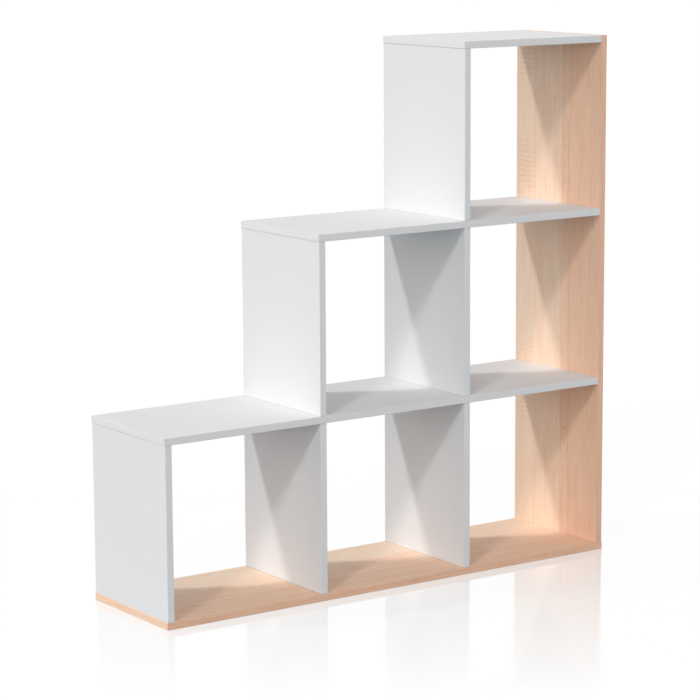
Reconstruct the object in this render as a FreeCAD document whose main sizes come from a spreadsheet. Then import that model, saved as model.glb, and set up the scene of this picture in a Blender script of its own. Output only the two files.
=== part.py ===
# Staircase bookshelf of melamine board, with its edge bands and the fittings hidden in its joints.
# The base panel and the tall right side are in oak decor, the shelves and the uprights in white.
# Uprights one bay high stand between the shelves, three at the foot, two above them and one at the top,
# so the bays climb to the right in steps. Front and back are open.
# Countersunk screws hold the boards that stand on the base from below. All other joints are dowelled.
# Millimetres, +Z up, +X towards the tall side, -Y the front, origin on the floor in the middle.
import FreeCAD, Part
import math
import os
import Sketcher

STEPS = 3                    # bays along the foot, and levels up the tall side
DOWEL_FLAT_COUNT = 10        # flats around a fluted dowel
SOCKET_FLAT_COUNT = 6        # flats of the socket in a screw's head
COUNTERSINK_ANGLE = 90       # degrees across the cone under a screw's head
BEVEL_LIMIT_SHARE = 0.8      # most of a band's thickness that its bevel may take
# height of the cone under a screw's head, as a share of what it tapers in diameter
HEAD_CONE_SHARE = 0.5 / math.tan(math.radians(COUNTERSINK_ANGLE / 2))

SIZES = {
    # carcase
    "bay_width": 353,        # clear between two uprights
    "bay_height": 358,       # clear between two shelves
    "depth": 290,            # front to back over the edge bands
    "board": 15,             # thickness of every panel
    "band": 1,               # thickness of the edge bands
    "band_bevel": 0.5,       # bevel along a band's outer edges
    "end_overhang": 1,       # shelf ends stand this far out past the uprights
    # places and play of the fittings
    "fitting_inset": 50,     # from the front or the back to the axis of screws and dowels
    "fit": 0.05,             # play all round a pin in its hole
    "tip_gap": 0.5,          # room left at the bottom of a blind hole
    # screws through the base
    "screw_length": 50,
    "screw_shank": 6,        # mean diameter of the thread
    "screw_head": 10,
    "screw_sink": 0.5,       # the head lies this far above the underside of the base
    "screw_socket": 4,       # across the flats
    "screw_socket_depth": 2.5,
    # dowels
    "dowel_diameter": 8,
    "dowel_length": 30,
    "long_dowel_length": 50,
    "dowel_floor": 4.5,      # board left behind a blind dowel hole in a face
}

# Formulas in the sheet's sizes
UPRIGHT_PITCH = "(Sizes.bay_width + Sizes.board)"
LEVEL_PITCH = "(Sizes.bay_height + Sizes.board)"
MID_BOARD = "(Sizes.board / 2)"
HALF_DEPTH = "(Sizes.depth / 2)"
HALF_CORE_DEPTH = "(Sizes.depth / 2 - Sizes.band)"
FITTING_Y = "(Sizes.depth / 2 - Sizes.fitting_inset)"
SIDE_HEIGHT = f"({STEPS} * {LEVEL_PITCH})"
SCREW_HOLE = "(Sizes.screw_shank + 2 * Sizes.fit)"
SCREW_SUNK_HOLE = f"(Sizes.screw_head + Sizes.screw_sink / {HEAD_CONE_SHARE} + 2 * Sizes.fit)"
PILOT_DEPTH = "(Sizes.screw_length + Sizes.screw_sink - Sizes.board + Sizes.tip_gap)"
DOWEL_HOLE = "(Sizes.dowel_diameter + 2 * Sizes.fit)"
DOWEL_FACE_HOLE_DEPTH = "(Sizes.board - Sizes.dowel_floor)"
DOWEL_IN_FACE = f"({DOWEL_FACE_HOLE_DEPTH} - Sizes.tip_gap)"
DOWEL_END_HOLE_DEPTH = f"(Sizes.dowel_length - {DOWEL_IN_FACE} + Sizes.tip_gap)"
LONG_DOWEL_HOLE_DEPTH = "((Sizes.long_dowel_length - Sizes.board) / 2 + Sizes.tip_gap)"

SHELVES = ("base_panel", "lower_shelf", "middle_shelf", "top_panel")
# uprights of each level, from left to right
UPRIGHTS = (
    ("lower_left_side", "lower_left_divider", "lower_right_divider"),
    ("middle_left_side", "middle_divider"),
    ("upper_left_side",),
)
X_AXIS = FreeCAD.Vector(1, 0, 0)
Y_AXIS = FreeCAD.Vector(0, 1, 0)
Z_AXIS = FreeCAD.Vector(0, 0, 1)

doc = FreeCAD.newDocument("staircase_bookshelf")
sheet = doc.addObject("Spreadsheet::Sheet", "Sizes")
for row, (size_name, size) in enumerate(SIZES.items(), start=1):
    sheet.set(f"A{row}", size_name)
    sheet.set(f"B{row}", str(size))
    sheet.setAlias(f"B{row}", size_name)
doc.recompute()

sub_parts = []


# Places in the carcase
def upright_left(column):
    """Left face of the uprights in a column, counted from the left; the last column is the tall side."""
    return f"(({column} - {STEPS} / 2) * {UPRIGHT_PITCH} - {MID_BOARD})"


def upright_middle(column):
    return f"({upright_left(column)} + {MID_BOARD})"


def shelf_underside(level):
    return f"({level} * {LEVEL_PITCH})"


def shelf_middle(level):
    return f"({shelf_underside(level)} + {MID_BOARD})"


def shelf_top(level):
    return f"({shelf_underside(level)} + Sizes.board)"


def first_column(level):
    """Column of the upright that carries the left end of a shelf."""
    return max(level - 1, 0)


def axes(y_to, z_to):
    """Turn that takes a piece's own Y and Z axes to these directions."""
    return FreeCAD.Rotation(y_to.cross(z_to), y_to, z_to, "ZYX")


def place(piece, x, y, z, turn=FreeCAD.Rotation()):
    piece.Placement = FreeCAD.Placement(FreeCAD.Vector(), turn)
    for axis, formula in zip("xyz", (x, y, z)):
        piece.setExpression(f"Placement.Base.{axis}", formula)


# Sketches and features
def new_body(label):
    body = doc.addObject("PartDesign::Body", label)
    body.Label = label
    return body


def new_sketch(body, name, plane, offset="0"):
    sketch = body.newObject("Sketcher::SketchObject", name)
    origin_planes = {feature.Role: feature for feature in body.Origin.OriginFeatures}
    sketch.AttachmentSupport = [(origin_planes[plane], "")]
    sketch.MapMode = "FlatFace"
    sketch.setExpression("AttachmentOffset.Base.z", offset)
    return sketch


def pin_point(sketch, curve, vertex, x, y):
    """Holds a point of a curve at these formulas from the sketch's origin."""
    for kind, formula in (("DistanceX", x), ("DistanceY", y)):
        number = sketch.addConstraint(Sketcher.Constraint(kind, -1, 1, curve, vertex, 0))
        sketch.setExpression(f"Constraints[{number}]", formula)


def add_outline(sketch, corners):
    """Closed outline of straight lines through corners given as formulas."""
    count = len(corners)
    turn = 2 * math.pi / count
    start = [FreeCAD.Vector(math.cos(turn * i), math.sin(turn * i)) for i in range(count)]
    lines = [sketch.addGeometry(Part.LineSegment(start[i - 1], start[i])) for i in range(count)]
    for i in range(count):
        sketch.addConstraint(Sketcher.Constraint("Coincident", lines[i - 1], 2, lines[i], 1))
    for line, (x, y) in zip(lines, corners):
        pin_point(sketch, line, 1, x, y)


def add_rectangle(sketch, left, low, right, high):
    add_outline(sketch, [(left, low), (right, low), (right, high), (left, high)])


def add_polygon(sketch, flats, radius):
    """Regular polygon around the origin, with its corners at this radius."""
    angles = [2 * math.pi * corner / flats for corner in range(flats)]
    add_outline(sketch, [(f"{radius} * {math.cos(a)}", f"{radius} * {math.sin(a)}") for a in angles])


def add_circles(sketch, diameter, centres):
    for x, y in centres:
        circle = sketch.addGeometry(Part.Circle())
        number = sketch.addConstraint(Sketcher.Constraint("Diameter", circle, 1))
        sketch.setExpression(f"Constraints[{number}]", diameter)
        pin_point(sketch, circle, 3, x, y)


def pad(body, name, sketch, length):
    feature = body.newObject("PartDesign::Pad", name)
    feature.Profile = sketch
    feature.setExpression("Length", length)
    return feature


def pocket(body, name, sketch, depth=None, along_normal=False):
    """Cut against the sketch's normal or along it; without a depth it goes right through."""
    feature = body.newObject("PartDesign::Pocket", name)
    feature.Profile = sketch
    feature.Reversed = along_normal
    if depth is None:
        feature.Type = "ThroughAll"
    else:
        feature.setExpression("Length", depth)


def drill(body, name, plane, offset, diameter, centres, depth=None, along_normal=False):
    sketch = new_sketch(body, f"{name}_places", plane, offset)
    add_circles(sketch, diameter, centres)
    pocket(body, name, sketch, depth, along_normal)


# Boards
def pair_across_board(x):
    """Two fitting places at this x of a horizontal sketch, near the front and near the back."""
    return [(x, f"-{FITTING_Y}"), (x, FITTING_Y)]


def pair_on_side(z):
    """Two fitting places at this height of a sketch facing along X, near the front and near the back."""
    return [(f"-{FITTING_Y}", z), (FITTING_Y, z)]


def upright_board(label, height):
    """Vertical board without its edge bands; its origin is at the foot of its left face."""
    body = new_body(label)
    sketch = new_sketch(body, "section", "XY_Plane")
    add_rectangle(sketch, "0", f"-{HALF_CORE_DEPTH}", "Sizes.board", HALF_CORE_DEPTH)
    pad(body, "core", sketch, height)
    sub_parts.append(body)
    return body


def drill_foot(body, diameter, depth):
    drill(body, "foot_holes", "XY_Plane", "0", diameter, pair_across_board(MID_BOARD), depth, True)


def make_upright(label, level, column):
    body = upright_board(label, "Sizes.bay_height")
    if level == 0:
        drill_foot(body, SCREW_HOLE, PILOT_DEPTH)
    else:
        drill_foot(body, DOWEL_HOLE, LONG_DOWEL_HOLE_DEPTH)
    head_depth = DOWEL_END_HOLE_DEPTH if column == level else LONG_DOWEL_HOLE_DEPTH
    places = pair_across_board(MID_BOARD)
    drill(body, "head_holes", "XY_Plane", "Sizes.bay_height", DOWEL_HOLE, places, head_depth)
    place(body, upright_left(column), "0", shelf_top(level))


def make_right_side():
    body = upright_board("right_side_panel", f"{SIDE_HEIGHT} - Sizes.band")
    drill_foot(body, SCREW_HOLE, PILOT_DEPTH)
    shelf_heights = [f"({shelf_middle(level)} - Sizes.board)" for level in range(1, STEPS + 1)]
    centres = [centre for height in shelf_heights for centre in pair_on_side(height)]
    drill(body, "shelf_holes", "YZ_Plane", "0", DOWEL_HOLE, centres, DOWEL_FACE_HOLE_DEPTH, True)
    place(body, upright_left(STEPS), "0", "Sizes.board")


def horizontal_board(level, right_end):
    """Horizontal board without its bands; its origin is under the outer face of its first upright."""
    body = new_body(SHELVES[level])
    sketch = new_sketch(body, "outline", "XY_Plane")
    left_end = "(Sizes.band - Sizes.end_overhang)"
    add_rectangle(sketch, left_end, f"-{HALF_CORE_DEPTH}", right_end, HALF_CORE_DEPTH)
    pad(body, "core", sketch, "Sizes.board")
    place(body, upright_left(first_column(level)), "0", shelf_underside(level))
    sub_parts.append(body)
    return body


def column_middle(column):
    """Middle of an upright, measured from the outer face of the first upright under the same board."""
    return f"({column} * {UPRIGHT_PITCH} + {MID_BOARD})"


def make_base():
    right_end = f"{STEPS} * {UPRIGHT_PITCH} + Sizes.board + Sizes.end_overhang - Sizes.band"
    body = horizontal_board(0, right_end)
    sketch = new_sketch(body, "screw_places", "XY_Plane")
    for column in range(STEPS + 1):
        add_circles(sketch, SCREW_HOLE, pair_across_board(column_middle(column)))
    doc.recompute()
    hole = body.newObject("PartDesign::Hole", "countersunk_holes")
    hole.Profile = sketch
    hole.Reversed = True
    hole.DepthType = "ThroughAll"
    hole.HoleCutType = "Countersink"
    hole.HoleCutCustomValues = True
    hole.HoleCutCountersinkAngle = COUNTERSINK_ANGLE
    hole.setExpression("Diameter", SCREW_HOLE)
    hole.setExpression("HoleCutDiameter", SCREW_SUNK_HOLE)


def make_shelf(level):
    bays = STEPS - first_column(level)
    right_end = f"({bays} * {UPRIGHT_PITCH})"
    body = horizontal_board(level, right_end)
    left_places = pair_across_board(MID_BOARD)
    drill(body, "left_holes", "XY_Plane", "0", DOWEL_HOLE, left_places, DOWEL_FACE_HOLE_DEPTH, True)
    for column in range(1, bays):
        places = pair_across_board(column_middle(column))
        drill(body, f"through_holes_{column}", "XY_Plane", "0", DOWEL_HOLE, places, along_normal=True)
    end_places = pair_on_side(MID_BOARD)
    drill(body, "end_holes", "YZ_Plane", right_end, DOWEL_HOLE, end_places, DOWEL_END_HOLE_DEPTH)


# Edge bands
def make_band(label, length, x, y, z, turn):
    """Strip along its own Z, with its bevelled outer face at y = 0 and its glued face towards +Y."""
    body = new_body(label)
    sketch = new_sketch(body, "section", "XY_Plane")
    bevel = f"min(Sizes.band_bevel; Sizes.band * {BEVEL_LIMIT_SHARE})"
    add_outline(sketch, [
        (f"{bevel} - {MID_BOARD}", "0"),
        (f"{MID_BOARD} - {bevel}", "0"),
        (MID_BOARD, bevel),
        (MID_BOARD, "Sizes.band"),
        (f"-{MID_BOARD}", "Sizes.band"),
        (f"-{MID_BOARD}", bevel),
    ])
    pad(body, "strip", sketch, length)
    place(body, x, y, z, turn)
    sub_parts.append(body)


def upright_bands(label, height, column, foot):
    x = upright_middle(column)
    make_band(f"{label}_front_band", height, x, f"-{HALF_DEPTH}", foot, axes(Y_AXIS, Z_AXIS))
    make_band(f"{label}_back_band", height, x, HALF_DEPTH, foot, axes(-Y_AXIS, Z_AXIS))


def shelf_bands(label, z, left, right):
    """Front and back bands over the whole length of a horizontal board."""
    length = f"({right} - {left})"
    make_band(f"{label}_front_band", length, left, f"-{HALF_DEPTH}", z, axes(Y_AXIS, X_AXIS))
    make_band(f"{label}_back_band", length, left, HALF_DEPTH, z, axes(-Y_AXIS, X_AXIS))


def end_band(label, x, z, inwards):
    """Band on the end of a board, between its front and back bands."""
    make_band(label, f"2 * {HALF_CORE_DEPTH}", x, f"-{HALF_CORE_DEPTH}", z, axes(inwards, Y_AXIS))


def make_all_bands():
    for level, label in enumerate(SHELVES):
        z = shelf_middle(level)
        left = f"({upright_left(first_column(level))} - Sizes.end_overhang)"
        right = upright_left(STEPS)
        if level == 0:
            right = f"({right} + Sizes.board + Sizes.end_overhang)"
            end_band(f"{label}_right_band", right, z, -X_AXIS)
        shelf_bands(label, z, left, right)
        end_band(f"{label}_left_band", left, z, X_AXIS)
    for level, labels in enumerate(UPRIGHTS):
        for column, label in enumerate(labels, start=level):
            upright_bands(label, "Sizes.bay_height", column, shelf_top(level))
    upright_bands("right_side_panel", SIDE_HEIGHT, STEPS, "Sizes.board")
    end_band("right_side_panel_top_band", upright_middle(STEPS), shelf_top(STEPS), -Z_AXIS)


# Fittings, each modelled once and copied to its places
def screw_master():
    """Countersunk screw with its head at z = 0 and its tip up."""
    body = new_body("screw_master")
    sketch = new_sketch(body, "profile", "XZ_Plane")
    add_outline(sketch, [
        ("0", "0"),
        ("Sizes.screw_head / 2", "0"),
        ("Sizes.screw_shank / 2", f"(Sizes.screw_head - Sizes.screw_shank) * {HEAD_CONE_SHARE}"),
        ("Sizes.screw_shank / 2", "Sizes.screw_length"),
        ("0", "Sizes.screw_length"),
    ])
    turned = body.newObject("PartDesign::Revolution", "turned")
    turned.Profile = sketch
    turned.ReferenceAxis = (sketch, ["V_Axis"])
    socket = new_sketch(body, "socket_outline", "XY_Plane")
    corner_share = 0.5 / math.cos(math.pi / SOCKET_FLAT_COUNT)
    add_polygon(socket, SOCKET_FLAT_COUNT, f"Sizes.screw_socket * {corner_share}")
    pocket(body, "socket", socket, "Sizes.screw_socket_depth", True)
    return body


def dowel_master(label, length):
    """Fluted dowel, its middle at the origin."""
    body = new_body(label)
    sketch = new_sketch(body, "section", "XY_Plane", f"-{length} / 2")
    add_polygon(sketch, DOWEL_FLAT_COUNT, "Sizes.dowel_diameter / 2")
    pad(body, "rod", sketch, length)
    return body


def group(label, master, places):
    copies = []
    for number, (x, y, z, turn) in enumerate(places):
        copy = doc.addObject("App::Link", f"{label}_{number}")
        copy.LinkedObject = master
        copy.LinkTransform = False
        place(copy, x, y, z, turn)
        copies.append(copy)
    compound = doc.addObject("Part::Compound", label)
    compound.Label = label
    compound.Links = copies
    sub_parts.append(compound)


def front_and_back(x, z, turn):
    return [(x, f"-{FITTING_Y}", z, turn), (x, FITTING_Y, z, turn)]


def make_fittings():
    upright = axes(Y_AXIS, Z_AXIS)
    lying = axes(Y_AXIS, X_AXIS)
    into_face = f"({DOWEL_IN_FACE} - Sizes.dowel_length / 2)"

    screws = []
    for column in range(STEPS + 1):
        screws += front_and_back(upright_middle(column), "Sizes.screw_sink", upright)
    dowels = []
    long_dowels = []
    for level in range(1, STEPS + 1):
        first = first_column(level)
        below_face = f"{shelf_underside(level)} + {into_face}"
        dowels += front_and_back(upright_middle(first), below_face, upright)
        dowels += front_and_back(f"{upright_left(STEPS)} + {into_face}", shelf_middle(level), lying)
        for column in range(first + 1, STEPS):
            long_dowels += front_and_back(upright_middle(column), shelf_middle(level), upright)

    group("base_screws", screw_master(), screws)
    group("dowels", dowel_master("dowel_master", "Sizes.dowel_length"), dowels)
    group("long_dowels", dowel_master("long_dowel_master", "Sizes.long_dowel_length"), long_dowels)


def check_document():
    """Stops where an object failed, a shape is broken or a cut took nothing away."""
    for item in doc.Objects:
        if "Invalid" in item.State or "Error" in item.State:
            raise RuntimeError(f"{item.Label}: {item.getStatusString()}")
        if item.TypeId in ("PartDesign::Pocket", "PartDesign::Hole"):
            if item.Shape.Volume >= item.BaseFeature.Shape.Volume:
                raise RuntimeError(f"{item.Label} cuts nothing")
    for piece in sub_parts:
        if piece.Shape.isNull() or not piece.Shape.isValid():
            raise RuntimeError(f"{piece.Label} has no valid shape")


make_base()
make_right_side()
for shelf_level in range(1, STEPS + 1):
    make_shelf(shelf_level)
for upright_level, upright_labels in enumerate(UPRIGHTS):
    for upright_column, upright_label in enumerate(upright_labels, start=upright_level):
        make_upright(upright_label, upright_level, upright_column)
make_all_bands()
make_fittings()
doc.recompute()
check_document()

os.makedirs("parts", exist_ok=True)
for sub_part in sub_parts:
    sub_part.Shape.exportStep(f"parts/{sub_part.Label}.step")
print(f"{len(sub_parts)} sub-parts, {sum(len(sub_part.Shape.Solids) for sub_part in sub_parts)} solids")
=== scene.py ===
# Looks of the staircase bookshelf: the finishes of its boards and edge bands, its screws and dowels.
# It also sets up the studio, with its lights, floor and camera.
# Metres, +Z up, +X towards the tall oak side, -Y the front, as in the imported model.
import math

import bpy
from mathutils import Matrix, Vector


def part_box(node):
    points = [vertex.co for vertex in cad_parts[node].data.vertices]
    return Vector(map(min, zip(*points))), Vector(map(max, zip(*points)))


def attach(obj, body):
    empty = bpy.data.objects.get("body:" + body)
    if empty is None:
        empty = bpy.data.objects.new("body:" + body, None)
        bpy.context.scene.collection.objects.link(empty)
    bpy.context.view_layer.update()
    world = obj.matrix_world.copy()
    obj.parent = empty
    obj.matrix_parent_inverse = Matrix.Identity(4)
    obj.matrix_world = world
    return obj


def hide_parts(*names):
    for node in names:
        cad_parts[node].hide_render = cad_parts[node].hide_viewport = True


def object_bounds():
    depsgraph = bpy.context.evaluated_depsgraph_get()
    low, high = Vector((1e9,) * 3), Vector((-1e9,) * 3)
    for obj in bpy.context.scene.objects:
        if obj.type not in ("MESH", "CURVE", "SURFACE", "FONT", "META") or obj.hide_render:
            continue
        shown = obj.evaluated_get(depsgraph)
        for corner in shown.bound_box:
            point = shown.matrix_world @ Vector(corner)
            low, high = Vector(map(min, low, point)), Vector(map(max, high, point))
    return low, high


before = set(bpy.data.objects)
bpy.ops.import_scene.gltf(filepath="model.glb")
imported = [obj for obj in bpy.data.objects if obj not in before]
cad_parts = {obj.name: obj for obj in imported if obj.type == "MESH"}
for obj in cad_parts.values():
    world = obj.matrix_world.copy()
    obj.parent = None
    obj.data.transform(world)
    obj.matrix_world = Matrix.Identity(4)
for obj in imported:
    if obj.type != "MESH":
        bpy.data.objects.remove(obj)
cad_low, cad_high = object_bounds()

scene = bpy.context.scene
MM = 0.001
X, Y, Z = range(3)

# Boards
SHELVES = ("base_panel", "lower_shelf", "middle_shelf", "top_panel")
# the boards that stand on the base, from left to right; other uprights stand in line above them
COLUMN_BOARDS = ("lower_left_side", "lower_left_divider", "lower_right_divider", "right_side_panel")
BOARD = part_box("base_panel")[1].z

# Screws and dowels, two to a joint, the same distance from the front and the back
FITTING_INSET = 50 * MM
FITTING_Y = cad_high.y - FITTING_INSET
SCREW_LENGTH = 50 * MM
SCREW_HEAD = 10 * MM
SCREW_RIM = 0.3 * MM
SCREW_SHANK = 6 * MM
SCREW_SINK = 0.5 * MM
SCREW_SIDES = 32
THREAD_CORE = 4.8 * MM
THREAD_PITCH = 3 * MM
THREAD_RIDGE = 0.7 * MM
SHOULDER_END = 17 * MM
POINT_LENGTH = 5 * MM
POINT_WIDTH = 2 * MM
SOCKET_WIDTH = 4 * MM
SOCKET_DEPTH = 2.5 * MM
WELD = 0.01 * MM
DOWEL_WIDTH = 8 * MM
DOWEL_LENGTH = 30 * MM
LONG_DOWEL_LENGTH = 50 * MM
DOWEL_IN_FACE = 10 * MM
DOWEL_CHAMFER = 1.2 * MM
FLUTE_DEPTH = 0.25 * MM
FLUTES = 20
SMOOTH_ANGLE = 35

# Camera
CAMERA_PLACE = (-3.1085, -4.442, 1.431)
CAMERA_YAW = -34.84
CAMERA_PITCH = -9.89
CAMERA_ROLL = 0.32
LENS = 133.9

# Lights, turned by degrees from the left towards the back
BACK_LIGHT = {"turn": 28.2, "height": 45.9, "energy": 1.14, "softness": 5}
FRONT_LIGHT = {"turn": -35.0, "height": 35.8, "energy": 0.70, "softness": 7}
SKY_FILL = 0.08
SOFT_WALLS = {-90: 1.17, -45: 1.38, 45: 1.24, 90: 1.15, 180: 1.55}
SOFT_WALL_HEIGHT = 2
SOFT_WALL_FALLOFF = 4

# Floor: what it throws back onto the shelf, and what it shows
PLAIN_WHITE = (1.0, 1.0, 1.0)
FLOOR_SIZE = 160
FLOOR_GAP = 0.2 * MM
FLOOR_BOUNCE = (0.25, 0.285, 0.295)
FLOOR_SHADE = (0.12, 0.12, 0.12)
FLOOR_GLOW = 0.90
# it mirrors most in a line across the view, this far behind the middle, and fades out to both sides
MIRROR_STRENGTH = 0.5
MIRROR_LINE = 0.2
MIRROR_REACH = 1.1
MIRROR_ROUGHNESS = 0.08

# Noises, given in waves per metre along three axes, or across and along a grain, vary about this mean
NOISE_MEAN = 0.5

# White melamine and its edging
BOARD_GLOSS = 0.06
WHITE = (0.80, 0.797, 0.804)
WHITE_SHADED = (0.78, 0.777, 0.784)
BOARD_CLOUDS = (4, 4, 4)
BOARD_PATCHES = (30, 30, 30)
BOARD_ROUGHNESS = 0.40
PATCH_ROUGHNESS = 0.12
BOARD_PEARL = (900, 900, 900)
PEARL_HEIGHT = 0.012 * MM
EDGING_CLOUDS = (6, 6, 6)
EDGING_RELIEF = (700, 700, 40)
EDGING_HEIGHT = 0.008 * MM
EDGING_ROUGHNESS = 0.42
RELIEF_ROUGHNESS = 0.10

# Fine dark lines where a board meets the next one, partly painted shade in the joint, and raw chipboard in
# cut edges and holes
SEAM = 0.8 * MM
SEAM_CORE = 0.4 * SEAM
# colour and depths of the joint lines, which are partly painted shade in the gap between the boards
JOINT_SHADE_COLOUR = (0.16, 0.13, 0.11)
WHITE_JOINT_SHADE_DEPTH = 0.55
OAK_JOINT_SHADE_DEPTH = 0.38
# a face is coated where the part of its normal across the board is above this
COATED_ABOVE = 0.9
CHIP_FLAKES = (420, 420, 900)
CHIP_ROUGHNESS = 0.4
CHIP_STOPS = (
    (0.25, (0.30, 0.19, 0.11)),
    (0.45, (0.47, 0.32, 0.19)),
    (0.60, (0.58, 0.42, 0.27)),
    (0.80, (0.68, 0.53, 0.37)),
)

# Oak decor: its tone runs from 0, dark, to 1, cream
OAK_STOPS = (
    (0.00, (0.64, 0.30, 0.18)),
    (0.30, (0.83, 0.47, 0.31)),
    (0.55, (0.91, 0.60, 0.43)),
    (0.80, (0.94, 0.72, 0.55)),
    (1.00, (0.95, 0.80, 0.66)),
)
# streaks, fibres and threads: their waves, detail and roughness, and their depth in the tone
OAK_LAYERS = (
    ((60, 2), 3, 0.55, 0.30),
    ((330, 12), 3, 0.60, 0.60),
    ((1300, 40), 2, 0.50, 0.35),
)
PORE_WAVES = (1900, 60)
PORE_EDGE = (0.62, 0.72)
PORE_DEPTH = 0.12
GRAIN_HEIGHT = 0.05 * MM
OAK_ROUGHNESS = 0.58
OAK_SHEEN = 0.14
# staves lie side by side, with edges at these places across the grain and a line of this width at each
# the tones rise from front to back: partly the decor's staves, partly painted light, lighter where the back
# lamp falls
SIDE_STAVES = {"seed": 3.1, "edges": (-0.042, -0.016, 0.078), "tones": (0.54, 0.60, 0.74, 0.78)}
BASE_STAVES = {"seed": 11.4, "edges": (-0.06, 0.04), "tones": (0.60, 0.70, 0.82)}
STAVE_SHIFT = 7.3
STAVE_LINE = 1.8 * MM
STAVE_LINE_DEPTH = 0.20
BAND_SEED = 5.9
BAND_TONE = 0.45
BASE_END_TONE = 0.64
# where the decor shows its figure: ranges of height up the tall side, or of place along the base
SIDE_FLAME = {
    "middle": -0.029, "reach": 0.014, "pitch": 0.026, "seed": 4.2,
    "ranges": ((0.21, 0.35), (0.81, 0.94)),
}
BASE_FLAME = {
    "middle": -0.02, "reach": 0.05, "pitch": 0.08, "seed": 6.6,
    "ranges": ((-0.40, -0.26), (-0.02, 0.12), (0.30, 0.46)),
}
SAW_MARKS = {
    "first_edge": 0.078, "last_edge": 0.136, "pitch": 0.011, "seed": 1.7,
    "ranges": ((0.28, 0.36), (0.40, 0.43), (0.79, 0.86), (1.06, 1.10)),
}
FIGURE_FADE = 0.03
SIDE_FLAME_DEPTH = 0.30
BASE_FLAME_DEPTH = 0.20
SAW_MARK_DEPTH = 0.15
# tongues of a flame: how far they bend, drift, bunch up and waver, and how fast each fades from its tip
TONGUE_BEND = 2
TONGUE_DRIFT = 1.6
TONGUE_BUNCHING = 5
TONGUE_WAVER = 0.6
TONGUE_FADE = 3
DRIFT_WAVES = 4
BUNCHING_WAVES = 9
BUNCHING_SEED = 7.0
WAVER_WAVES = (170, 18)
# share of its reach over which a flame shows in full
FLAME_FULL = 0.8
# saw marks: how far they waver, in marks, how soft they are, and how ragged the ends of their ranges are
MARK_WAVER = 1.2
MARK_WAVER_WAVES = (60, 20)
MARK_EDGE = (-0.6, 1.0)
MARK_RAGGEDNESS = 0.10
MARK_RAGGED_WAVES = (30, 10)

# Steel and beech
ZINC_DARK = (0.52, 0.54, 0.57)
ZINC_LIGHT = (0.72, 0.73, 0.74)
ZINC_MOTTLE = (900, 900, 900)
ZINC_ROUGHNESS = 0.26
MOTTLE_ROUGHNESS = 0.16
TURNING_MARKS = (200, 200, 6000)
TURNING_HEIGHT = 0.01 * MM
BEECH_DARK = (0.62, 0.42, 0.26)
BEECH_LIGHT = (0.78, 0.60, 0.42)
BEECH_FLECK = (0.36, 0.21, 0.12)
BEECH_RINGS = (500, 500, 12)
BEECH_FLECKS = (2400, 2400, 260)
FLECK_EDGE = (0.6, 0.7)
FLECK_DEPTH = 0.5
BEECH_HEIGHT = 0.03 * MM
BEECH_ROUGHNESS = 0.62
RING_ROUGHNESS = 0.15


# Shader maths
class Signal:
    """A number, colour or vector that varies over a surface; arithmetic on numbers adds Math nodes."""

    def __init__(self, finish, socket):
        self.finish = finish
        self.socket = socket

    def maths(self, operation, first, second=0.0):
        return self.finish.node("ShaderNodeMath", {"operation": operation}, {0: first, 1: second})

    def __add__(self, other):
        return self.maths("ADD", self, other)

    def __radd__(self, other):
        return self.maths("ADD", other, self)

    def __sub__(self, other):
        return self.maths("SUBTRACT", self, other)

    def __rsub__(self, other):
        return self.maths("SUBTRACT", other, self)

    def __mul__(self, other):
        return self.maths("MULTIPLY", self, other)

    def __rmul__(self, other):
        return self.maths("MULTIPLY", other, self)

    def __truediv__(self, other):
        return self.maths("DIVIDE", self, other)

    def __pow__(self, other):
        return self.maths("POWER", self, other)

    def __gt__(self, other):
        return self.maths("GREATER_THAN", self, other)

    def __lt__(self, other):
        return self.maths("LESS_THAN", self, other)

    def __abs__(self):
        return self.maths("ABSOLUTE", self)

    def at_least(self, other):
        return self.maths("MAXIMUM", self, other)

    def sine(self):
        return self.maths("SINE", self)

    def fraction(self):
        return self.maths("FRACT", self)

    def between(self, low, high):
        """0 below low, 1 above high, smooth in between."""
        settings = {"interpolation_type": "SMOOTHSTEP"}
        sockets = {"Value": self, "From Min": low, "From Max": high}
        return self.finish.node("ShaderNodeMapRange", settings, sockets)


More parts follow.
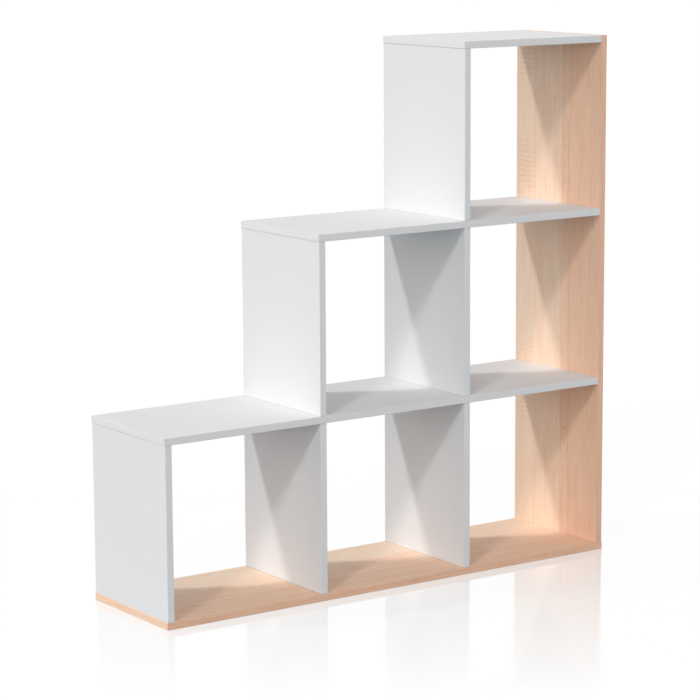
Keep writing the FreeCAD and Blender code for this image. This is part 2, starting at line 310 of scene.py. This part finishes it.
class Finish:
    """The nodes of a material or of the world."""

    def __init__(self, owner):
        owner.use_nodes = True
        self.owner = owner
        self.tree = owner.node_tree

    def node(self, kind, settings=None, sockets=None, output=0):
        """Adds a node: its settings first, then the values or links of its sockets."""
        added = self.tree.nodes.new(kind)
        for name, value in (settings or {}).items():
            if name == "stops":
                self.set_stops(added.color_ramp, value)
            else:
                setattr(added, name, value)
        for name, value in (sockets or {}).items():
            self.feed(added.inputs[name], value)
        return Signal(self, added.outputs[output])

    def feed(self, socket, value):
        if isinstance(value, Signal):
            self.tree.links.new(value.socket, socket)
        else:
            socket.default_value = value

    def set_stops(self, ramp, stops):
        while len(ramp.elements) < len(stops):
            ramp.elements.new(1.0)
        for element, (place, colour) in zip(ramp.elements, stops):
            element.position = place
            element.color = rgba(colour)

    def shader(self, **values):
        """Feeds the Principled shader; underscores in a name stand for spaces."""
        principled = self.tree.nodes["Principled BSDF"]
        for name, value in values.items():
            self.feed(principled.inputs[name.replace("_", " ")], value)

    def place(self):
        """The point on the surface, as three signals in metres."""
        return self.split(self.node("ShaderNodeTexCoord", output="Object"))

    def normal(self):
        return self.split(self.node("ShaderNodeNewGeometry", output="Normal"))

    def split(self, vector):
        parts = self.node("ShaderNodeSeparateXYZ", None, {0: vector}).socket.node
        return [Signal(self, socket) for socket in parts.outputs]

    def join(self, x, y, z):
        return self.node("ShaderNodeCombineXYZ", None, {0: x, 1: y, 2: z})

    def noise(self, x, y, z, detail=2.0, roughness=0.5):
        sockets = {"Vector": self.join(x, y, z), "Scale": 1.0, "Detail": detail, "Roughness": roughness}
        return self.node("ShaderNodeTexNoise", None, sockets)

    def waved(self, place, waves, detail=2.0, roughness=0.5):
        """Noise at a place, with this many waves per metre along each of its axes."""
        scaled = [part * wave for part, wave in zip(place, waves)]
        return self.noise(*scaled, detail, roughness)

    def grain(self, across, along, waves, seed, detail=2.0, roughness=0.5):
        """Noise with these waves per metre across and along a grain, another one for each seed."""
        return self.noise(across * waves[0], along * waves[1], seed, detail, roughness)

    def blend(self, share, first, second):
        settings = {"data_type": "RGBA", "clamp_factor": True}
        return self.node("ShaderNodeMix", settings, {0: share, 6: first, 7: second}, 2)

    def ramp(self, share, stops):
        return self.node("ShaderNodeValToRGB", {"stops": stops}, {0: share})

    def bump(self, height, depth):
        """Relief whose height of 1 stands this many metres out."""
        return self.node("ShaderNodeBump", None, {"Height": height, "Distance": depth, "Strength": 1.0})


def new_finish(name):
    return Finish(bpy.data.materials.new(name))


def rgba(colour):
    return (*colour, 1.0)


# Finishes
def chipboard(finish, place):
    """Colour of raw chipboard, where a board is cut or drilled."""
    flakes = finish.waved(place, CHIP_FLAKES, detail=3, roughness=0.65)
    return finish.ramp(flakes, CHIP_STOPS)


def faced(finish, axis):
    """1 on the two faces across an axis, which are coated, and 0 on cut edges and in holes."""
    return abs(finish.normal()[axis]) > COATED_ABOVE


def joint_line_and_shade(finish, colour, depth, across, places):
    """A colour with a fine dark line at each place, where the edge of the coating meets the next board:
    partly that edge, partly painted shade in the joint.
    """
    lines = 0.0
    for place in places:
        lines = lines + (1 - abs(across - place).between(SEAM_CORE, SEAM))
    return finish.blend(depth * lines, colour, rgba(JOINT_SHADE_COLOUR))


def clouded_white(finish, place, clouds, detail):
    """White that varies a little in soft clouds."""
    cloud = finish.waved(place, clouds, detail)
    return finish.blend(cloud, rgba(WHITE_SHADED), rgba(WHITE))


def white_board(name, face_axis, levels):
    """White melamine with a fine pearl relief; its cut edges and holes show chipboard."""
    finish = new_finish(name)
    place = finish.place()
    pearl = finish.waved(place, BOARD_PEARL, detail=1)
    patches = finish.waved(place, BOARD_PATCHES, detail=3, roughness=0.6)
    white = clouded_white(finish, place, BOARD_CLOUDS, detail=3)
    if levels:
        # painted shade lines where the upright meets the shelves, together with the coating's edge
        white = joint_line_and_shade(finish, white, WHITE_JOINT_SHADE_DEPTH, place[Z], levels)
    coated = faced(finish, face_axis)
    finish.shader(
        Base_Color=finish.blend(coated, chipboard(finish, place), white),
        Roughness=BOARD_ROUGHNESS + PATCH_ROUGHNESS * patches + CHIP_ROUGHNESS * (1 - coated),
        Specular_IOR_Level=BOARD_GLOSS,
        Normal=finish.bump(pearl, PEARL_HEIGHT),
    )
    return finish.owner


def white_band(name, levels):
    """White edging, about as smooth as the boards, with a faint fine relief."""
    finish = new_finish(name)
    place = finish.place()
    x, y, z = place
    relief = finish.waved((x + y, z, x - y), EDGING_RELIEF)
    white = clouded_white(finish, place, EDGING_CLOUDS, detail=2)
    if levels:
        # painted shade lines where the edging meets the shelves, together with the coating's edge
        white = joint_line_and_shade(finish, white, WHITE_JOINT_SHADE_DEPTH, z, levels)
    finish.shader(
        Base_Color=white,
        Roughness=EDGING_ROUGHNESS + RELIEF_ROUGHNESS * relief,
        Specular_IOR_Level=BOARD_GLOSS,
        Normal=finish.bump(relief, EDGING_HEIGHT),
    )
    return finish.owner


def oak_print(finish, across, along, seed, edges, tones):
    """Tone of oak decor, whose staves each have their own run of the grain and a fine line between them."""
    stave = seed
    tone = tones[0]
    for edge, before, after in zip(edges, tones, tones[1:]):
        past = across > edge
        line = 1 - abs(across - edge).between(0.0, STAVE_LINE)
        stave = stave + STAVE_SHIFT * past
        tone = tone + (after - before) * past - STAVE_LINE_DEPTH * line
    for waves, detail, roughness, depth in OAK_LAYERS:
        layer = finish.grain(across, along, waves, stave, detail, roughness)
        tone = tone + depth * (layer - NOISE_MEAN)
    pores = finish.grain(across, along, PORE_WAVES, stave, detail=1).between(*PORE_EDGE)
    return tone - PORE_DEPTH * pores


def figured(along, ranges):
    """1 within each range along the grain, fading out past its ends."""
    shown = 0.0
    for start, end in ranges:
        begun = along.between(start - FIGURE_FADE, start)
        ended = along.between(end, end + FIGURE_FADE)
        shown = shown + begun * (1 - ended)
    return shown


def flame(finish, across, along, middle, reach, pitch, seed, ranges):
    """Nested tongues of a flat-sawn stave, reaching this far to both sides, each dark at its tip."""
    drift = finish.noise(seed, along * DRIFT_WAVES, 0.0, detail=1) - NOISE_MEAN
    offset = (across - middle) / reach + TONGUE_DRIFT * drift
    bunching = finish.noise(seed, along * BUNCHING_WAVES, BUNCHING_SEED)
    waver = finish.grain(across, along, WAVER_WAVES, seed, detail=3)
    rings = along / pitch - TONGUE_BEND * offset * offset
    rings = rings + TONGUE_BUNCHING * bunching + TONGUE_WAVER * waver
    inside = 1 - abs(across - middle).between(FLAME_FULL * reach, reach)
    return (1 - rings.fraction()) ** TONGUE_FADE * inside * figured(along, ranges)


def saw_marks(finish, across, along, first_edge, last_edge, pitch, seed, ranges):
    """Short soft marks across the grain, between two lines along it."""
    waver = finish.grain(across, along, MARK_WAVER_WAVES, seed)
    turns = along / pitch + MARK_WAVER * waver
    marks = (turns * (2 * math.pi)).sine().between(*MARK_EDGE)
    ragged = along + MARK_RAGGEDNESS * (finish.grain(across, along, MARK_RAGGED_WAVES, seed) - NOISE_MEAN)
    return marks * figured(ragged, ranges) * (across > first_edge) * (across < last_edge)


def coat_with_oak(finish, tone, colour):
    """Feeds the shader of oak decor, where dark grain is rougher and lies deeper."""
    finish.shader(
        Base_Color=colour,
        Roughness=OAK_ROUGHNESS - OAK_SHEEN * tone,
        Specular_IOR_Level=BOARD_GLOSS,
        Normal=finish.bump(tone, GRAIN_HEIGHT),
    )
    return finish.owner


def oak_side(levels):
    """The tall side: grain upright, cream staves behind pinker ones, a flame, and saw marks at the back.
    Its stave tones are partly painted light, lighter at the back where the back lamp falls, and its inner
    face has painted shade lines where the shelves meet it.
    """
    finish = new_finish("oak_decor_side")
    place = finish.place()
    across, along = place[Y], place[Z]
    # stave tones partly painted light: lighter towards the back, where the back lamp falls
    tone = oak_print(finish, across, along, **SIDE_STAVES)
    tone = tone - SIDE_FLAME_DEPTH * flame(finish, across, along, **SIDE_FLAME)
    tone = tone - SAW_MARK_DEPTH * saw_marks(finish, across, along, **SAW_MARKS)
    inner = finish.normal()[X] < 0
    # painted shade lines on the inner face, where the shelves meet it
    colour = joint_line_and_shade(finish, finish.ramp(tone, OAK_STOPS), OAK_JOINT_SHADE_DEPTH * inner, along, levels)
    colour = finish.blend(faced(finish, X), chipboard(finish, place), colour)
    return coat_with_oak(finish, tone, colour)


def oak_base(feet):
    """The base: grain along it, cream at the back, a flame, and lines where the uprights stand on it. The
    cream at the back is partly painted light, where the back lamp falls, and the lines are partly painted
    shade in the joints.
    """
    finish = new_finish("oak_decor_base")
    place = finish.place()
    across, along = place[Y], place[X]
    # stave tones partly painted light: cream at the back, where the back lamp falls, pinker at the shaded
    # front
    tone = oak_print(finish, across, along, **BASE_STAVES)
    tone = tone - BASE_FLAME_DEPTH * flame(finish, across, along, **BASE_FLAME)
    upper = finish.normal()[Z] > 0
    # painted shade lines on the top face, where the uprights stand on it
    colour = joint_line_and_shade(finish, finish.ramp(tone, OAK_STOPS), OAK_JOINT_SHADE_DEPTH * upper, along, feet)
    colour = finish.blend(faced(finish, Z), chipboard(finish, place), colour)
    return coat_with_oak(finish, tone, colour)


def oak_band(name, across_axis, along_axis, tone):
    """Oak-decor edging with its grain along it."""
    finish = new_finish(name)
    place = finish.place()
    tone = oak_print(finish, place[across_axis], place[along_axis], BAND_SEED, (), (tone,))
    return coat_with_oak(finish, tone, finish.ramp(tone, OAK_STOPS))


def zinc_steel():
    """Zinc-plated steel with a mottled, faintly blue plating and fine turning marks."""
    finish = new_finish("zinc_plated_steel")
    place = finish.place()
    mottle = finish.waved(place, ZINC_MOTTLE, detail=3, roughness=0.6)
    turned = finish.waved(place, TURNING_MARKS)
    finish.shader(
        Base_Color=finish.blend(mottle, rgba(ZINC_DARK), rgba(ZINC_LIGHT)),
        Metallic=1.0,
        Roughness=ZINC_ROUGHNESS + MOTTLE_ROUGHNESS * mottle,
        Normal=finish.bump(turned, TURNING_HEIGHT),
    )
    return finish.owner


def beech(name, across_axes, along_axis):
    """Raw beech with fine dark flecks along its grain."""
    finish = new_finish(name)
    place = finish.place()
    grain = [place[axis] for axis in (*across_axes, along_axis)]
    rings = finish.waved(grain, BEECH_RINGS, detail=3)
    flecks = finish.waved(grain, BEECH_FLECKS).between(*FLECK_EDGE)
    colour = finish.blend(rings, rgba(BEECH_DARK), rgba(BEECH_LIGHT))
    finish.shader(
        Base_Color=finish.blend(FLECK_DEPTH * flecks, colour, rgba(BEECH_FLECK)),
        Roughness=BEECH_ROUGHNESS + RING_ROUGHNESS * rings,
        Normal=finish.bump(rings, BEECH_HEIGHT),
    )
    return finish.owner


def dress(node, material):
    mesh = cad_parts[node].data
    mesh.materials.clear()
    mesh.materials.append(material)


def faces_of(nodes, axis):
    """Where both faces of each of these boards lie along an axis."""
    return [corner[axis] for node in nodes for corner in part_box(node)]


def dress_boards():
    levels = faces_of(SHELVES, Z)
    shelf_edge = white_band("white_edging_shelf", [])
    upright_edge = white_band("white_edging_upright", levels)
    oak_lying = oak_band("oak_edging_lying", Z, X, BAND_TONE)
    oak_end = oak_band("oak_edging_end", Z, Y, BASE_END_TONE)
    oak_upright = oak_band("oak_edging_upright", X, Z, BAND_TONE)
    oak = {
        "base_panel": oak_base(faces_of(COLUMN_BOARDS, X)),
        "base_panel_front_band": oak_lying,
        "base_panel_back_band": oak_lying,
        "base_panel_left_band": oak_end,
        "base_panel_right_band": oak_end,
        "right_side_panel": oak_side(levels),
        "right_side_panel_front_band": oak_upright,
        "right_side_panel_back_band": oak_upright,
        "right_side_panel_top_band": oak_band("oak_edging_top", X, Y, BAND_TONE),
    }
    white_flat = white_board("white_melamine_shelf", Z, [])
    white_upright = white_board("white_melamine_upright", X, levels)
    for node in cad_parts:
        if node in oak:
            dress(node, oak[node])
        elif node in SHELVES:
            dress(node, white_flat)
        elif node.startswith(SHELVES):
            dress(node, shelf_edge)
        elif node.endswith("_band"):
            dress(node, upright_edge)
        elif node.endswith(("_side", "_divider")):
            dress(node, white_upright)


# Screws and dowels, each modelled once at the origin and copied to its places
def pick(piece):
    """Selects one piece alone and makes it the active one."""
    bpy.ops.object.select_all(action="DESELECT")
    piece.select_set(True)
    bpy.context.view_layer.objects.active = piece


def edit(piece):
    pick(piece)
    bpy.ops.object.mode_set(mode="EDIT")


def leave_edit():
    """Turns all faces outwards and goes back to object mode."""
    bpy.ops.mesh.select_all(action="SELECT")
    bpy.ops.mesh.normals_make_consistent(inside=False)
    bpy.ops.object.mode_set(mode="OBJECT")


def apply_modifier(piece, kind, **settings):
    pick(piece)
    modifier = piece.modifiers.new(kind.lower(), kind)
    for name, value in settings.items():
        setattr(modifier, name, value)
    bpy.ops.object.modifier_apply(modifier=modifier.name)


def turned_rod(name, profile, sides):
    """Solid of revolution along Z: a disc drawn up through (height, radius) pairs."""
    bpy.ops.object.select_all(action="DESELECT")
    height, radius = profile[0]
    bpy.ops.mesh.primitive_circle_add(
        vertices=sides, radius=radius, fill_type="NGON", location=(0, 0, height),
    )
    bpy.ops.object.transform_apply(location=True, rotation=True, scale=True)
    rod = bpy.context.object
    rod.name = name
    edit(rod)
    bpy.ops.mesh.select_all(action="SELECT")
    for next_height, next_radius in profile[1:]:
        rise = (0, 0, next_height - height)
        bpy.ops.mesh.extrude_region_move(TRANSFORM_OT_translate={"value": rise})
        growth = next_radius / radius
        bpy.ops.transform.resize(value=(growth, growth, 1))
        height, radius = next_height, next_radius
    leave_edit()
    return rod


def screw_thread():
    """Ridge that winds around the core of a screw."""
    turns = int((SCREW_LENGTH - POINT_LENGTH - SHOULDER_END) / THREAD_PITCH) - 1
    place = (SCREW_SHANK / 2 - THREAD_RIDGE, 0, SHOULDER_END + THREAD_PITCH / 2)
    bpy.ops.object.select_all(action="DESELECT")
    bpy.ops.mesh.primitive_circle_add(vertices=3, radius=THREAD_RIDGE, fill_type="NOTHING", location=place)
    thread = bpy.context.object
    thread.rotation_euler = (math.radians(90), math.radians(90), 0)
    bpy.ops.object.transform_apply(location=True, rotation=True, scale=True)
    apply_modifier(
        thread, "SCREW", axis="Z", angle=2 * math.pi, screw_offset=THREAD_PITCH, iterations=turns,
        steps=SCREW_SIDES, render_steps=SCREW_SIDES, use_merge_vertices=False, use_normal_calculate=True,
    )
    edit(thread)
    bpy.ops.mesh.select_all(action="SELECT")
    bpy.ops.mesh.fill_holes(sides=3)
    leave_edit()
    return thread


def hexagon_bar():
    """Bar that leaves the socket in a screw's head."""
    corner = SOCKET_WIDTH / 2 / math.cos(math.pi / 6)
    bpy.ops.object.select_all(action="DESELECT")
    bpy.ops.mesh.primitive_cylinder_add(
        vertices=6, radius=corner, depth=2 * SOCKET_DEPTH, location=(0, 0, 0),
    )
    return bpy.context.object


def combine(piece, tool, operation):
    """Cuts a tool out of a piece, or joins it to the piece, and removes the tool."""
    apply_modifier(piece, "BOOLEAN", object=tool, operation=operation, solver="EXACT")
    bpy.data.objects.remove(tool)


def screw_pattern():
    """Countersunk screw with its head down at z = 0 and its point up."""
    cone_end = SCREW_RIM + (SCREW_HEAD - SCREW_SHANK) / 2
    core = THREAD_CORE / 2
    screw = turned_rod("screw_pattern", (
        (0.0, SCREW_HEAD / 2 - SCREW_RIM),
        (SCREW_RIM, SCREW_HEAD / 2 - SCREW_RIM / 2),
        (cone_end, SCREW_SHANK / 2),
        (SHOULDER_END, SCREW_SHANK / 2),
        (SHOULDER_END + (SCREW_SHANK - THREAD_CORE) / 2, core),
        (SCREW_LENGTH - POINT_LENGTH, core),
        (SCREW_LENGTH, POINT_WIDTH / 2),
    ), SCREW_SIDES)
    combine(screw, hexagon_bar(), "DIFFERENCE")
    combine(screw, screw_thread(), "UNION")
    edit(screw)
    bpy.ops.mesh.select_all(action="SELECT")
    bpy.ops.mesh.remove_doubles(threshold=WELD)
    leave_edit()
    return screw


def dowel_pattern(length):
    """Fluted dowel with chamfered ends along Z, its middle at the origin."""
    half = length / 2
    radius = DOWEL_WIDTH / 2
    tip = radius - DOWEL_CHAMFER
    shoulder = half - DOWEL_CHAMFER
    dowel = turned_rod("dowel_pattern", (
        (-half, tip), (-shoulder, radius), (shoulder, radius), (half, tip),
    ), 2 * FLUTES)
    edit(dowel)
    bpy.ops.mesh.select_all(action="DESELECT")
    bpy.ops.mesh.select_mode(type="VERT")
    bpy.ops.object.mode_set(mode="OBJECT")
    for vertex in dowel.data.vertices:
        step = math.atan2(vertex.co.y, vertex.co.x) / (math.pi / FLUTES)
        on_rod = vertex.co.xy.length > radius - FLUTE_DEPTH
        vertex.select = on_rod and round(step) % 2 == 0
    bpy.ops.object.mode_set(mode="EDIT")
    depth = 1 - FLUTE_DEPTH / radius
    bpy.ops.transform.resize(value=(depth, depth, 1))
    leave_edit()
    return dowel


def set_out(name, pattern, places, node, material):
    """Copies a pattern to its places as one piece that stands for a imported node."""
    copies = []
    for place in places:
        copy = bpy.data.objects.new(name, pattern.data.copy())
        scene.collection.objects.link(copy)
        copy.data.transform(place)
        copies.append(copy)
    bpy.ops.object.select_all(action="DESELECT")
    for copy in copies:
        copy.select_set(True)
    bpy.context.view_layer.objects.active = copies[0]
    bpy.ops.object.join()
    piece = bpy.context.object
    piece.name = name
    piece.data.materials.clear()
    piece.data.materials.append(material)
    bpy.ops.object.shade_smooth_by_angle(angle=math.radians(SMOOTH_ANGLE))
    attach(piece, "root")
    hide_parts(node)


def front_and_back(x, z, turn=Matrix()):
    """The two places of a joint's fittings, for a pattern that is turned first."""
    return [Matrix.Translation((x, y, z)) @ turn for y in (-FITTING_Y, FITTING_Y)]


def fit_fittings():
    columns = [(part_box(board)[0].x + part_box(board)[1].x) / 2 for board in COLUMN_BOARDS]
    side_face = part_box("right_side_panel")[0].x
    into_face = DOWEL_IN_FACE - DOWEL_LENGTH / 2
    lying = Matrix.Rotation(math.radians(90), 4, "Y")
    screws = [place for x in columns for place in front_and_back(x, SCREW_SINK)]
    upright_dowels = []
    lying_dowels = []
    long_dowels = []
    for first, shelf in enumerate(SHELVES[1:]):
        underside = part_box(shelf)[0].z
        middle = underside + BOARD / 2
        upright_dowels += front_and_back(columns[first], underside + into_face)
        lying_dowels += front_and_back(side_face + into_face, middle, lying)
        for x in columns[first + 1:-1]:
            long_dowels += front_and_back(x, middle)

    screw = screw_pattern()
    dowel = dowel_pattern(DOWEL_LENGTH)
    long_dowel = dowel_pattern(LONG_DOWEL_LENGTH)
    upright_beech = beech("beech_upright", (X, Y), Z)
    lying_beech = beech("beech_lying", (Y, Z), X)
    set_out("base_screws_threaded", screw, screws, "base_screws", zinc_steel())
    set_out("dowels_upright_fluted", dowel, upright_dowels, "dowels", upright_beech)
    set_out("dowels_lying_fluted", dowel, lying_dowels, "dowels", lying_beech)
    set_out("long_dowels_fluted", long_dowel, long_dowels, "long_dowels", upright_beech)
    for pattern in (screw, dowel, long_dowel):
        bpy.data.objects.remove(pattern)


# Studio
def direction_to(turn, height):
    """Towards a place that is turned from the left towards the back, and raised, by these degrees."""
    turn, height = math.radians(turn), math.radians(height)
    level = math.cos(height)
    return Vector((-math.cos(turn) * level, math.sin(turn) * level, math.sin(height)))


def seen_rays(finish):
    """1 for the rays that show the background: to the camera, off gloss and through glass."""
    rays = finish.node("ShaderNodeLightPath").socket.node
    names = ("Is Camera Ray", "Is Glossy Ray", "Is Transmission Ray")
    camera, glossy, through = (Signal(finish, rays.outputs[name]) for name in names)
    return camera.at_least(glossy).at_least(through)


def light_world():
    """A dim sky with brighter soft walls, and plain white where it is seen."""
    scene.world = bpy.data.worlds.new("studio")
    finish = Finish(scene.world)
    background = finish.tree.nodes["Background"]
    direction = finish.node("ShaderNodeTexCoord", output="Generated")
    sky = SKY_FILL
    for turn, strength in SOFT_WALLS.items():
        sockets = {0: direction, 1: direction_to(turn, SOFT_WALL_HEIGHT)}
        facing = finish.node("ShaderNodeVectorMath", {"operation": "DOT_PRODUCT"}, sockets, "Value")
        sky = sky + strength * facing.at_least(0.0) ** SOFT_WALL_FALLOFF
    seen = seen_rays(finish)
    finish.feed(background.inputs["Color"], rgba(PLAIN_WHITE))
    finish.feed(background.inputs["Strength"], seen + (1 - seen) * sky)


def lay_floor():
    """A pale floor that shows white, with the shelf's soft shadow and a reflection that fades out."""
    bpy.ops.object.select_all(action="DESELECT")
    bpy.ops.mesh.primitive_plane_add(size=FLOOR_SIZE, location=(0, 0, -FLOOR_GAP))
    floor = bpy.context.object
    floor.name = "floor"
    finish = new_finish("pale_floor")
    tree = finish.tree
    tree.nodes.remove(tree.nodes["Principled BSDF"])
    lit = finish.node("ShaderNodeBsdfDiffuse", None, {"Color": rgba(FLOOR_BOUNCE)})
    shade = finish.node("ShaderNodeBsdfDiffuse", None, {"Color": rgba(FLOOR_SHADE)})
    glow = finish.node("ShaderNodeEmission", None, {"Color": rgba(PLAIN_WHITE), "Strength": FLOOR_GLOW})
    shown = finish.node("ShaderNodeAddShader", None, {0: shade, 1: glow})
    sockets = {"Color": rgba(PLAIN_WHITE), "Roughness": MIRROR_ROUGHNESS}
    gloss = finish.node("ShaderNodeBsdfGlossy", None, sockets)
    place = finish.place()
    yaw = math.radians(CAMERA_YAW)
    away = place[Y] * math.cos(yaw) - place[X] * math.sin(yaw)
    share = MIRROR_STRENGTH * (1 - abs(away - MIRROR_LINE) / MIRROR_REACH).at_least(0.0)
    polished = finish.node("ShaderNodeMixShader", None, {0: share, 1: shown, 2: gloss})
    mixed = finish.node("ShaderNodeMixShader", None, {0: seen_rays(finish), 1: lit, 2: polished})
    finish.feed(tree.nodes["Material Output"].inputs["Surface"], mixed)
    floor.data.materials.append(finish.owner)


def hang_light(name, turn, height, energy, softness):
    """A distant lamp with a soft edge to its shadows."""
    lamp = bpy.data.lights.new(name, "SUN")
    lamp.energy = energy
    lamp.angle = math.radians(softness)
    light = bpy.data.objects.new(name, lamp)
    scene.collection.objects.link(light)
    light.rotation_euler = direction_to(turn, height).to_track_quat("Z", "Y").to_euler()


def set_camera():
    camera_data = bpy.data.cameras.new("camera")
    camera_data.lens = LENS
    camera_data.clip_end = 2 * FLOOR_SIZE
    camera = bpy.data.objects.new("camera", camera_data)
    scene.collection.objects.link(camera)
    turn = Matrix.Rotation(math.radians(CAMERA_YAW), 4, "Z")
    turn = turn @ Matrix.Rotation(math.radians(CAMERA_PITCH), 4, "X")
    turn = turn @ Matrix.Rotation(math.radians(CAMERA_ROLL), 4, "Y")
    level = Matrix.Rotation(math.radians(90), 4, "X")
    camera.matrix_world = Matrix.Translation(CAMERA_PLACE) @ turn @ level
    scene.camera = camera


scene.view_settings.view_transform = "Standard"
dress_boards()
fit_fittings()
light_world()
lay_floor()
hang_light("back_light", **BACK_LIGHT)
hang_light("front_light", **FRONT_LIGHT)
set_camera()
